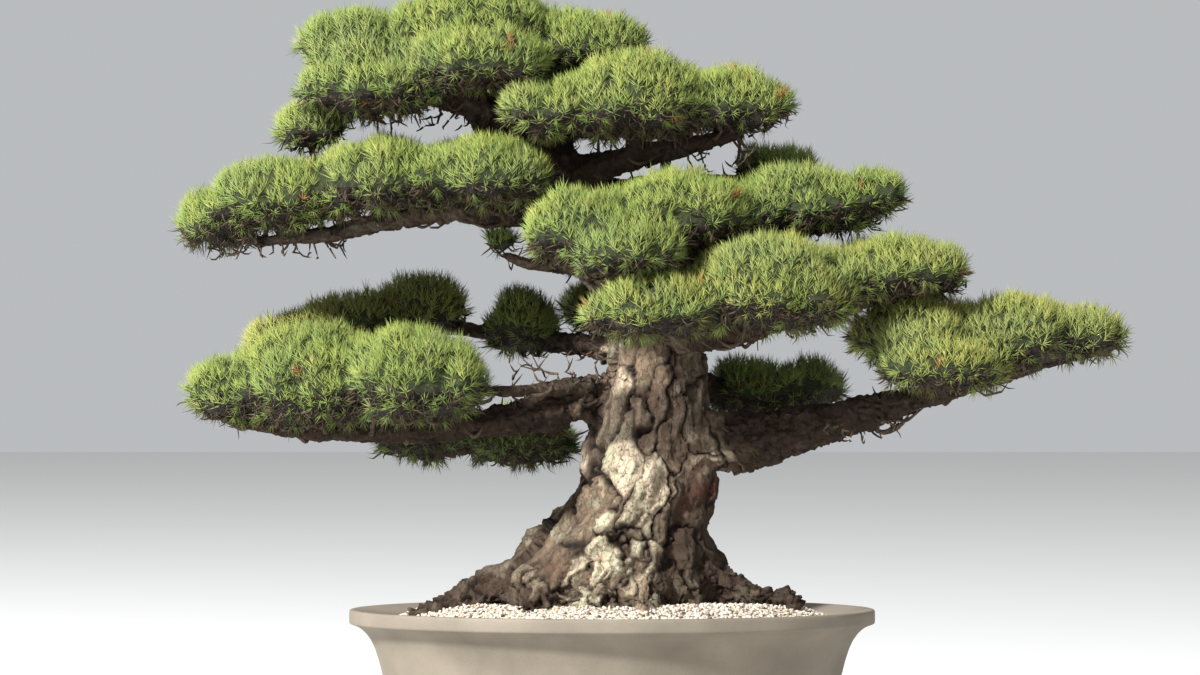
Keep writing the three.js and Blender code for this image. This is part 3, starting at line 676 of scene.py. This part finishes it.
rng = np.random.default_rng(GRIT_SEED)
grains = []
for model in range(GRIT_MODELS):
    bpy.ops.object.select_all(action="DESELECT")
    bpy.ops.mesh.primitive_ico_sphere_add(subdivisions=1, radius=1)
    grain = bpy.context.object
    shape = corners_of(grain)
    shape *= rng.uniform(*GRAIN_CORNERS, (len(shape), 1))
    shape *= rng.uniform(*GRAIN_SHAPES)
    grains.append((shape, triangles_of(grain)))
    bpy.data.objects.remove(grain)
spots, ways = random_places(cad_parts["grit"], GRIT_COUNT, lambda n: np.maximum(n[:, 2], 0) ** 2, rng)
spots[:, 2] += rng.uniform(*GRIT_LIFT, GRIT_COUNT)
axes = unit(np.concatenate([rng.normal(0, GRIT_TILT, (2, GRIT_COUNT)), np.ones((1, GRIT_COUNT))]).T)
sizes = rng.uniform(*GRIT_SIZES, GRIT_COUNT) * MM
corners, faces, copies = strewn(grains, rng.integers(0, GRIT_MODELS, GRIT_COUNT), spots, axes,
                                rng.uniform(0, 2 * math.pi, GRIT_COUNT), sizes)
grit = mesh_piece("loose_grit", corners, faces)
give_numbers(grit, stone_tone=rng.random(GRIT_COUNT)[copies])
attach(grit, "root")

# Crushed granite is dull: white and cream grains, with a few dark ones and fine dark flecks. The
# bed below the loose grains has the same tones, with painted shade in the gaps where its grains meet.
GRIT_WHITE = "#DAD3C7"
GRIT_CREAM = "#BEAB92"
GRIT_DARK = "#54463A"
FLECK_SIZE = 5 / 3
BED_GRAIN = 5
BED_HEIGHT = 2 * MM
pale_grit, shader = new_material("crushed_pale_granite")
where = add(pale_grit, "TexCoord", {}).outputs["Object"]
stone = add(pale_grit, "Attribute", {}, attribute_name="stone_tone").outputs["Fac"]
dark = add(pale_grit, "MapRange", {"Value": stone, "From Min": 0.86, "From Max": 0.92})
fleck = add(pale_grit, "TexNoise", {"Vector": where, "Scale": 1000 / FLECK_SIZE, "Detail": 3})
fleck = add(pale_grit, "MapRange",
            {"Value": fleck.outputs["Fac"], "From Min": 0.35, "From Max": 0.6, "To Min": 0.25, "To Max": 0})
colour = linear(GRIT_WHITE)
for share, tint in ((stone, GRIT_CREAM), (dark.outputs[0], GRIT_DARK), (fleck.outputs[0], GRIT_DARK)):
    colour = add(pale_grit, "Mix", {0: share, 6: colour, 7: linear(tint)}, data_type="RGBA").outputs[2]
plug(pale_grit, shader, {"Base Color": colour, "Roughness": 0.85})
grit.data.materials.append(pale_grit)
bed, shader = new_material("grit_bed_with_painted_shade")
where = add(bed, "TexCoord", {}).outputs["Object"]
stone = add(bed, "TexVoronoi", {"Vector": where, "Scale": 1000 / BED_GRAIN})
cream = add(bed, "SeparateColor", {"Color": stone.outputs["Color"]})
# Painted shade darkens the gaps between the bed's grains.
edge = add(bed, "MapRange", {"Value": stone.outputs["Distance"], "From Min": 0.45, "From Max": 0.8})
colour = linear(GRIT_WHITE)
for share, tint in ((cream.outputs[0], GRIT_CREAM), (edge.outputs[0], GRIT_DARK)):
    colour = add(bed, "Mix", {0: share, 6: colour, 7: linear(tint)}, data_type="RGBA").outputs[2]
rounded = add(bed, "Bump",
              {"Height": stone.outputs["Distance"], "Strength": 1, "Distance": BED_HEIGHT}, invert=True)
plug(bed, shader, {"Base Color": colour, "Normal": rounded.outputs[0], "Roughness": 0.9})
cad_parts["grit"].material_slots[0].material = bed


# The foliage is made of short shoots, each a brush of stiff needles round a green candle.
# They grow up and outwards from the twigs of every pad, and were clipped to even clouds.
# A dense mat of shoots and old needles, dark with painted shade, lies under them and closes each pad.
NEEDLE_LENGTH = 15 * MM
NEEDLE_WIDTH = 0.66 * MM
NEEDLES = 12
LOWEST_LEAN = 54
LEAN_FALL = 44
NEEDLE_TURN = 2.4
CANDLE = 7 * MM
SHOOT_MODELS = 12
NEEDLE_SIZES = (0.75, 1.1)
SHOOT_SPACING = 6.8 * MM
SHOOT_TRIES = 5
SHOOT_DEPTH = 2 * MM
SHOOT_SIZES = (0.78, 1.2)
RIM = -0.72  # how steeply a mat may face down and still bear all its shoots
UNDERSIDE_SHARE = 0.2
PAD_VOXEL = 8 * MM
PAD_CLOSING = 20 * MM
PAD_INSET = -2 * MM
UNDER_INSET = 2 * MM
TUFT_SIZE = 32 * MM
TUFT_HEIGHT = 11 * MM
HOLLOW = -0.4  # how low the tufts' noise falls before shoots are missing
HOLLOW_SHARE = 0.35
WOOD_SKIN = 12 * MM
WOOD_GAP = 3 * MM
TONE_SIZE = 55 * MM
BLOOM_SIZE = 70 * MM
BROWN_SIZE = 26 * MM
NEEDLE_SEED = 11
PAD_PAINTED_SHADE = {  # painted shade on each pad's needles, how much darker they are than the rest, and painted light where negative
    "foliage_lower_left_back": -0.5, "foliage_left_back": -0.05, "foliage_right_back": 0.1,
    "foliage_middle_right_back": 0.05, "foliage_under_left": 0.15, "foliage_middle_tuft": 0.05,
    "foliage_lower_right": -0.26, "foliage_centre_right": -0.14, "foliage_upper_right": -0.05,
}
rng = np.random.default_rng(NEEDLE_SEED)
bpy.ops.object.select_all(action="DESELECT")
bpy.ops.mesh.primitive_cone_add(vertices=3, radius1=NEEDLE_WIDTH, radius2=0, depth=NEEDLE_LENGTH,
                                end_fill_type="NOTHING", location=(0, 0, NEEDLE_LENGTH / 2))
needle = bpy.context.object
bpy.ops.object.transform_apply(location=True)
needle_corners = corners_of(needle)
needle_faces = triangles_of(needle)
bpy.data.objects.remove(needle)
shoots = []
for model in range(SHOOT_MODELS):
    share = (np.arange(NEEDLES) + rng.random(NEEDLES)) / NEEDLES
    lean = np.radians(LOWEST_LEAN - LEAN_FALL * share + rng.normal(0, 8, NEEDLES))
    turn = NEEDLE_TURN * np.arange(NEEDLES) + rng.normal(0, 0.3, NEEDLES)
    axes = np.stack([np.sin(lean) * np.cos(turn), np.sin(lean) * np.sin(turn), np.cos(lean)], 1)
    places = np.stack([0 * share, 0 * share, CANDLE * share], 1)
    spins = rng.uniform(0, 2 * math.pi, NEEDLES)
    corners, faces, _ = strewn([(needle_corners, needle_faces)], np.zeros(NEEDLES, int), places, axes,
                               spins, rng.uniform(*NEEDLE_SIZES, NEEDLES))
    along = np.tile(needle_corners[:, 2] / NEEDLE_LENGTH, NEEDLES)
    shoots.append((corners, faces, along))


def spaced(spots, spacing):
    """The indices of spots that keep this far from every spot chosen before them."""
    cells = {}
    kept = []
    for index, spot in enumerate(spots):
        cell = tuple(int(c) for c in np.floor(spot / spacing))
        near = [other for dx in (-1, 0, 1) for dy in (-1, 0, 1) for dz in (-1, 0, 1)
                for other in cells.get((cell[0] + dx, cell[1] + dy, cell[2] + dz), ())]
        if all(sum((spot - spots[other]) ** 2) > spacing ** 2 for other in near):
            cells.setdefault(cell, []).append(index)
            kept.append(index)
    return np.array(kept)


def clear_of(tree, spots, gap):
    """Whether each spot lies outside a closed shape, at least this far from it. A spot further away
    than its skin counts as outside, because a sharp edge's normal says little there."""
    clear = np.ones(len(spots), bool)
    for i, spot in enumerate(spots):
        near, normal, _, distance = tree.find_nearest(Vector(spot))
        clear[i] = distance > gap and (distance > WOOD_SKIN or (Vector(spot) - near).dot(normal) > 0)
    return clear


# Needles are fresh green with a soft waxy shine. Some have a blue bloom, and they are duller
# towards their roots, brown where they are old and rusty where they died. Their green is also
# painted lighter on the tops of the pads, and lighter or darker pad by pad, for light and shade.
NEEDLE_TONES = ((0, "#34451F"), (0.3, "#54692F"), (0.5, "#73873D"), (0.75, "#8A9748"), (1, "#A1A152"))
NEEDLE_BLUE = "#78895C"
NEEDLE_DEAD = "#9A6030"
NEEDLE_ROOT = "#647238"
NEEDLE_OLD = "#42301F"
pine_needles, shader = new_material("waxy_pine_needles")
fresh, bloom, along, dead, old = (
    add(pine_needles, "Attribute", {}, attribute_name=name).outputs["Fac"]
    for name in ("freshness", "bloom", "along", "dead", "old"))
low = add(pine_needles, "MapRange", {"Value": along, "From Max": 0.55, "To Min": 1, "To Max": 0})
green = add(pine_needles, "ValToRGB", {"Fac": fresh}, NEEDLE_TONES).outputs["Color"]
for share, tint in ((bloom, NEEDLE_BLUE), (low.outputs[0], NEEDLE_ROOT), (dead, NEEDLE_DEAD),
                    (old, NEEDLE_OLD)):
    green = add(pine_needles, "Mix", {0: share, 6: green, 7: linear(tint)}, data_type="RGBA").outputs[2]
plug(pine_needles, shader, {"Base Color": green, "Roughness": 0.55, "Specular IOR Level": 0.3})

# The mat is old needles and shoots, brown and dull green, too dense to see through. Its colours are
# painted dark for the shade deep inside a pad, and darkest on its underside.
MAT_TOP_SHADE_TONES = ((0, "#1C2110"), (0.45, "#333D1D"), (0.75, "#464D26"), (1, "#5C5A30"))
MAT_UNDER_SHADE_TONES = ((0, "#0A0806"), (0.4, "#1A140D"), (0.7, "#33281D"), (1, "#6A5844"))
STRAND_SIZE = 5
STRAND_HEIGHT = 3 * MM
needle_mat, shader = new_material("mat_of_old_needles_in_painted_shade")
where = add(needle_mat, "TexCoord", {}).outputs["Object"]
strand = add(needle_mat, "TexNoise",
             {"Vector": where, "Scale": 1000 / STRAND_SIZE, "Detail": 6, "Roughness": 0.75})
strand = add(needle_mat, "MapRange",
             {"Value": strand.outputs["Fac"], "From Min": 0.3, "From Max": 0.7}).outputs[0]
matted = add(needle_mat, "Bump", {"Height": strand, "Strength": 1, "Distance": STRAND_HEIGHT})
under = add(needle_mat, "Attribute", {}, attribute_name="underside").outputs["Fac"]
top, below = (add(needle_mat, "ValToRGB", {"Fac": strand}, tones).outputs["Color"]
              for tones in (MAT_TOP_SHADE_TONES, MAT_UNDER_SHADE_TONES))
# Painted shade: the underside of the mat is darker than its top.
colour = add(needle_mat, "Mix", {0: under, 6: top, 7: below}, data_type="RGBA").outputs[2]
plug(needle_mat, shader, {"Base Color": colour, "Normal": matted.outputs[0], "Roughness": 0.95})


def room_on(mat, spacing):
    """How many shoots or twigs this far apart a mat has room for."""
    return sum(p.area for p in mat.data.polygons) / spacing ** 2


def pad_mat(node):
    """The mat of one pad: its lobes closed to one tufted cloud, fuller on top and thinner below."""
    mat = welded_copy(node, node.replace("foliage", "mat"))
    modified(mat, "REMESH", mode="VOXEL", voxel_size=PAD_VOXEL)
    for swell, smoothing in ((PAD_CLOSING, 6), (-PAD_CLOSING, 4)):
        modified(mat, "DISPLACE", strength=swell, mid_level=0)
        modified(mat, "REMESH", mode="VOXEL", voxel_size=PAD_VOXEL)
        modified(mat, "SMOOTH", factor=0.5, iterations=smoothing)
    ways = normals_of(mat)
    corners = corners_of(mat)
    under = smooth_step(-ways[:, 2], -0.1, 0.5)
    inset = PAD_INSET + (UNDER_INSET - PAD_INSET) * under
    inset = np.minimum(inset, 0.3 * thickness_of(mat)) - TUFT_HEIGHT * noise_at(corners, TUFT_SIZE, 2)
    move_corners(mat, corners - inset[:, None] * ways)
    # Marks the underside, which the mat's material paints darker as shade.
    give_numbers(mat, underside=smooth_step(-ways[:, 2], -0.15, 0.25))
    mat.data.materials.append(needle_mat)
    return mat


wood_outline = welded_copy("wood", "wood_outline")
wood_tree = BVHTree.FromObject(wood_outline, bpy.context.evaluated_depsgraph_get())
bpy.data.objects.remove(wood_outline)
mats = []
for node in sorted(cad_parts):
    if not node.startswith("foliage"):
        continue
    mat = pad_mat(node)
    tries = int(room_on(mat, SHOOT_SPACING) * SHOOT_TRIES)
    spots, ways = random_places(mat, tries, lambda n: np.ones(len(n)), rng)
    kept = spaced(spots, SHOOT_SPACING)
    spots, ways = spots[kept], ways[kept]
    ragged = ways[:, 2] + 0.4 * noise_at(spots, TUFT_SIZE)
    wanted = (ragged > RIM) | (rng.random(len(spots)) < UNDERSIDE_SHARE)
    wanted &= (noise_at(spots, TUFT_SIZE, 2) > HOLLOW) | (rng.random(len(spots)) < HOLLOW_SHARE)
    wanted &= clear_of(wood_tree, spots, WOOD_GAP)
    spots, ways = spots[wanted], ways[wanted]
    count = len(spots)
    lit = smooth_step(ways[:, 2], RIM, 0.2)
    axes = (0.75 - 0.25 * lit)[:, None] * ways + rng.normal(0, 0.16, (count, 3))
    axes[:, 2] += 0.45 * smooth_step(ways[:, 2], -0.95, -0.6) + 0.6 * lit
    picks = rng.integers(0, SHOOT_MODELS, count)
    corners, faces, copies = strewn([s[:2] for s in shoots], picks, spots - SHOOT_DEPTH * ways, unit(axes),
                                    rng.uniform(0, 2 * math.pi, count), rng.uniform(*SHOOT_SIZES, count))
    spray = mesh_piece(node.replace("foliage", "needles"), corners, faces)
    patches = 0.6 * noise_at(spots, TONE_SIZE) + 0.5 * noise_at(spots, TUFT_SIZE, 2)
    blue = noise_at(spots + (9, 4, 2), BLOOM_SIZE)
    browned = noise_at(spots + (3, 8, 6), BROWN_SIZE)
    browned = ((browned > 0.64) & (rng.random(count) < 0.4)) | (rng.random(count) < 0.003)
    old = (ways[:, 2] < RIM) & (rng.random(count) < 0.7)
    # Besides their random tones, the needles get painted light on the pads' tops, and each pad its own
    # painted shade or light.
    fresh = 0.48 + 0.25 * lit + 0.25 * patches + rng.normal(0, 0.1, count) - PAD_PAINTED_SHADE.get(node, 0)
    bloom = np.clip(0.12 + 0.5 * blue + rng.normal(0, 0.1, count), 0, 0.5)
    browned = browned * rng.uniform(0.5, 0.9, count)
    old = old * rng.uniform(0.6, 1, count)
    along = np.concatenate([np.tile(s[2], int((picks == k).sum())) for k, s in enumerate(shoots)])
    give_numbers(spray, freshness=np.clip(fresh, 0, 1)[copies], bloom=bloom[copies],
                 dead=browned[copies], old=old[copies], along=along)
    spray.data.materials.append(pine_needles)
    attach(spray, "root")
    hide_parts(node)
    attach(mat, "root")
    mats.append(mat)


# The twigs carry the shoots: side branches and fine twigs fork from every limb into the pads
# round it. Years of clipping have left dead twigs under the mats, and spurs and loops on the limbs.
TWIG_SPACING = 19 * MM
TWIG_DROOP = (-4 * MM, 12 * MM)
TWIG_DEPTH = 2 * MM
TWIG_BATCHES = 8
TWIG_SIDES = 3
TWIG_RINGS = 4
BRANCH_SIDES = 5
BRANCH_RINGS = 8
BRANCH_GIRTH = 2.4 * MM
TANGLE_SPACING = 14 * MM
TWIG_TIP = 0.8 * MM
TWIG_GIRTH = 0.62 * MM
TWIG_STOUTEST = 6 * MM
DEAD_TWIG_LENGTHS = (8 * MM, 20 * MM)
DEAD_TWIG_GIRTHS = (0.7 * MM, 1.6 * MM)
DEAD_TWIG_LIFT = 10 * MM
DEAD_TWIG_DEPTH = 3 * MM
SPURS = 420
SPUR_LENGTHS = (8 * MM, 22 * MM)
SPUR_GIRTHS = (0.9 * MM, 2 * MM)
SPUR_LIFT = 3 * MM
LOOPS = 130
LOOP_GIRTHS = (2 * MM, 4 * MM)
LOOP_SPAN = (20 * MM, 60 * MM)
LOOP_SAG = (2 * MM, 14 * MM)
THICKETS = (  # where dead twigs crowd under a pad: reach in x, y and z from the pot's centre, and number
    ((-350, -160), (-70, 10), (712, 750), 90), ((-465, -285), (-80, 0), (563, 592), 70),
    ((235, 330), (-95, -25), (354, 380), 60), ((-125, 5), (-50, 60), (423, 462), 50),
    ((-160, -30), (-60, 40), (690, 735), 40), ((90, 170), (-90, 0), (664, 694), 30),
)
LIMBS_ABOVE = 360 * MM
OFF_TRUNK = 90
LIMB_SPOTS = 16000
TWIG_SEED = 5


def tubes(name, paths, radii, sides):
    """Thin round twigs, one along each row of points, drawn to a point at the end."""
    count, rings, _ = paths.shape
    turns = turns_to(unit(paths[:, -1] - paths[:, 0]), np.zeros(count))
    angles = 2 * math.pi * np.arange(sides) / sides
    ring = np.stack([np.cos(angles), np.sin(angles)], 1)
    offsets = np.einsum("nij,sj->nsi", turns[:, :, :2], ring)
    corners = paths[:, :-1, None, :] + offsets[:, None] * radii[:, :-1, None, None]
    corners = np.concatenate([corners.reshape(count, -1, 3), paths[:, -1:]], 1)
    faces = []
    for row in range(rings - 2):
        for side in range(sides):
            a, b = row * sides + side, row * sides + (side + 1) % sides
            faces += [(a, b, b + sides), (a, b + sides, a + sides)]
    tip = (rings - 1) * sides
    faces += [(tip - sides + side, tip - sides + (side + 1) % sides, tip) for side in range(sides)]
    faces = np.array(faces)[None] + (tip + 1) * np.arange(count)[:, None, None]
    return mesh_piece(name, corners.reshape(-1, 3), faces.reshape(-1, 3))


def point_tree(points):
    """A tree that finds the nearest of some points."""
    tree = KDTree(len(points))
    for i, point in enumerate(points):
        tree.insert(point, i)
    tree.balance()
    return tree


def bent(start, end, rng, sag=0):
    """The four handles of a twig's curve, which sags first and then turns up."""
    span = np.linalg.norm(end - start)
    sideways = rng.normal(0, 0.15 * span, (2, 3))
    sideways[:, 2] -= (0.16 * span + sag * rng.uniform(0.3, 1.5), 0.08 * span + sag * rng.uniform(0, 1.2))
    return [start, start + (end - start) / 3 + sideways[0],
            start + 2 * (end - start) / 3 + sideways[1], end]


def curved(handles, rings):
    """The points along each curve of a set, given by its four handles."""
    first, second, third, last = (np.array(handles)[:, i, None] for i in range(4))
    share = np.linspace(0, 1, rings)[None, :, None]
    return (first * (1 - share) ** 3 + 3 * second * share * (1 - share) ** 2
            + 3 * third * share ** 2 * (1 - share) + last * share ** 3)


def tangled(normals):
    """How many dead twigs hang from each part of a mat: most where its flank turns under."""
    return smooth_step(-normals[:, 2], -0.15, 0.25) * (1 - 0.8 * smooth_step(-normals[:, 2], 0.6, 0.9))


rng = np.random.default_rng(TWIG_SEED)
limb_spots, limb_ways = random_places(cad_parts["wood"], LIMB_SPOTS, lambda n: np.ones(len(n)), rng)
limb_roots = limb_spots - TWIG_DEPTH * limb_ways
limb_tree = point_tree(limb_roots)
thickets = []
for mat in mats:
    spots, ways = random_places(mat, int(room_on(mat, TWIG_SPACING)),
                                lambda n: np.where(n[:, 2] < 0, 1, 0.1), rng)
    thickets.append(spots + ways * rng.uniform(*TWIG_DROOP, (len(spots), 1)) * (ways[:, 2:] < 0))
for *reaches, count in THICKETS:
    lows, highs = np.array(reaches).T
    thickets.append(rng.uniform(lows, highs, (count, 3)) * MM + pot_middle)
paths, parents = [], []
for spots in thickets:
    reach = np.array([limb_tree.find(spot)[2] for spot in spots])
    first_twig = len(paths)
    for batch in np.array_split(np.argsort(reach), TWIG_BATCHES):
        knot_tree = None
        if len(paths) > first_twig:
            knot_tree = point_tree(curved(paths[first_twig:], TWIG_RINGS)[:, 2:].reshape(-1, 3))
        for target in spots[batch]:
            root, _, distance = limb_tree.find(target)
            parent = -1
            if knot_tree:
                fork, knot, gap = knot_tree.find(target)
                if gap < 0.9 * distance:
                    root, parent = fork, first_twig + knot // (TWIG_RINGS - 2)
            paths.append(bent(np.array(root), target, rng))
            parents.append(parent)
forked = len(paths)
for mat in mats:
    spots, ways = random_places(mat, int(room_on(mat, TANGLE_SPACING)), tangled, rng)
    run = unit(rng.normal(0, 1, (len(spots), 3)) * (1, 1, 0.5))
    run *= rng.uniform(*DEAD_TWIG_LENGTHS, (len(spots), 1))
    lift = rng.uniform(0, DEAD_TWIG_LIFT, (len(spots), 1))
    starts, ends = spots - DEAD_TWIG_DEPTH * ways, spots + run + lift * ways
    paths += [bent(start, end, rng) for start, end in zip(starts, ends)]
borne = np.ones(len(paths))
for twig in reversed(range(forked)):
    if parents[twig] >= 0:
        borne[parents[twig]] += borne[twig]
stems = np.minimum(TWIG_TIP + TWIG_GIRTH * np.sqrt(borne), TWIG_STOUTEST)
stems[forked:] = rng.uniform(*DEAD_TWIG_GIRTHS, len(stems) - forked)
picks = rng.integers(0, len(limb_spots), SPURS)
picks = picks[(limb_spots[picks, 2] > LIMBS_ABOVE) & (limb_ways[picks, 2] > -0.3)]
spur_ways = unit(0.45 * limb_ways[picks] + rng.normal(0, 0.6, (len(picks), 3)))
spur_ends = limb_spots[picks] + spur_ways * rng.uniform(*SPUR_LENGTHS, (len(picks), 1))
spur_ends += SPUR_LIFT * limb_ways[picks]
paths += [bent(start, end, rng) for start, end in zip(limb_roots[picks], spur_ends)]
stems = np.concatenate([stems, rng.uniform(*SPUR_GIRTHS, len(picks))])
spot_x, spot_y, spot_z = ((limb_spots - pot_middle) / MM).T
aside = np.hypot(spot_x - np.interp(spot_z, rise, line_x), spot_y - np.interp(spot_z, rise, line_y))
below = np.nonzero((limb_ways[:, 2] < -0.2) & (limb_spots[:, 2] > LIMBS_ABOVE) & (aside > OFF_TRUNK))[0]
loops = 0
for pick in rng.choice(below, LOOPS, replace=False):
    turn = rng.uniform(0, 2 * math.pi)
    away = limb_spots[pick] + rng.uniform(*LOOP_SPAN) * np.array([math.cos(turn), 0.5 * math.sin(turn), 0])
    landing, _, distance = limb_tree.find(away)
    if distance < LOOP_SPAN[0]:
        paths.append(bent(limb_roots[pick], np.array(landing), rng, rng.uniform(*LOOP_SAG)))
        loops += 1
stems = np.concatenate([stems, rng.uniform(*LOOP_GIRTHS, loops)])
stout_ones = stems > BRANCH_GIRTH
for name, members, sides, rings in (("side_branches", stout_ones, BRANCH_SIDES, BRANCH_RINGS),
                                    ("fine_twigs", ~stout_ones, TWIG_SIDES, TWIG_RINGS)):
    radii = stems[members, None] * np.linspace(1, 0.45, rings)
    twigs = tubes(name, curved(paths, rings)[members], radii, sides)
    corners_each = len(twigs.data.vertices) // members.sum()
    give_numbers(twigs, plate_tone=np.repeat(rng.random(members.sum()), corners_each),
                 weathered=rng.random(len(twigs.data.vertices)))
    twigs.data.materials.append(pine_bark)
    only(twigs)
    bpy.ops.object.shade_smooth()
    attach(twigs, "root")


# The stage is a plain pale floor under a pale sky, with a bright lamp high on the left in
# front and a weak, broad one on the right.
FLOOR_GREY = "#DEDEDC"
SKY_WHITE = "#F2F5F8"
SKY_STRENGTH = 0.55
LAMPS = (((-5.4, -5.6, 5.6), 0.9, 2100), ((3.2, -2.5, 1.8), 2.5, 5))  # place, size and power
LAMPS_AIM = Vector((0, 0, 0.45))
FLOOR_SIZE = 30
bpy.ops.object.select_all(action="DESELECT")
bpy.ops.mesh.primitive_plane_add(size=FLOOR_SIZE)
floor = bpy.context.object
floor.name = "studio_floor"
floor_paint, shader = new_material("pale_floor")
plug(floor_paint, shader, {"Base Color": linear(FLOOR_GREY), "Roughness": 0.9})
floor.data.materials.append(floor_paint)
world = bpy.data.worlds.new("pale_sky")
bpy.context.scene.world = world
world.use_nodes = True
world.node_tree.nodes["Background"].inputs["Color"].default_value = linear(SKY_WHITE)
world.node_tree.nodes["Background"].inputs["Strength"].default_value = SKY_STRENGTH
for place, size, power in LAMPS:
    bpy.ops.object.light_add(type="AREA", location=place)
    lamp = bpy.context.object
    lamp.data.size = size
    lamp.data.energy = power
    lamp.rotation_euler = (LAMPS_AIM - Vector(place)).to_track_quat("-Z", "Y").to_euler()
bpy.context.scene.view_settings.view_transform = "Standard"
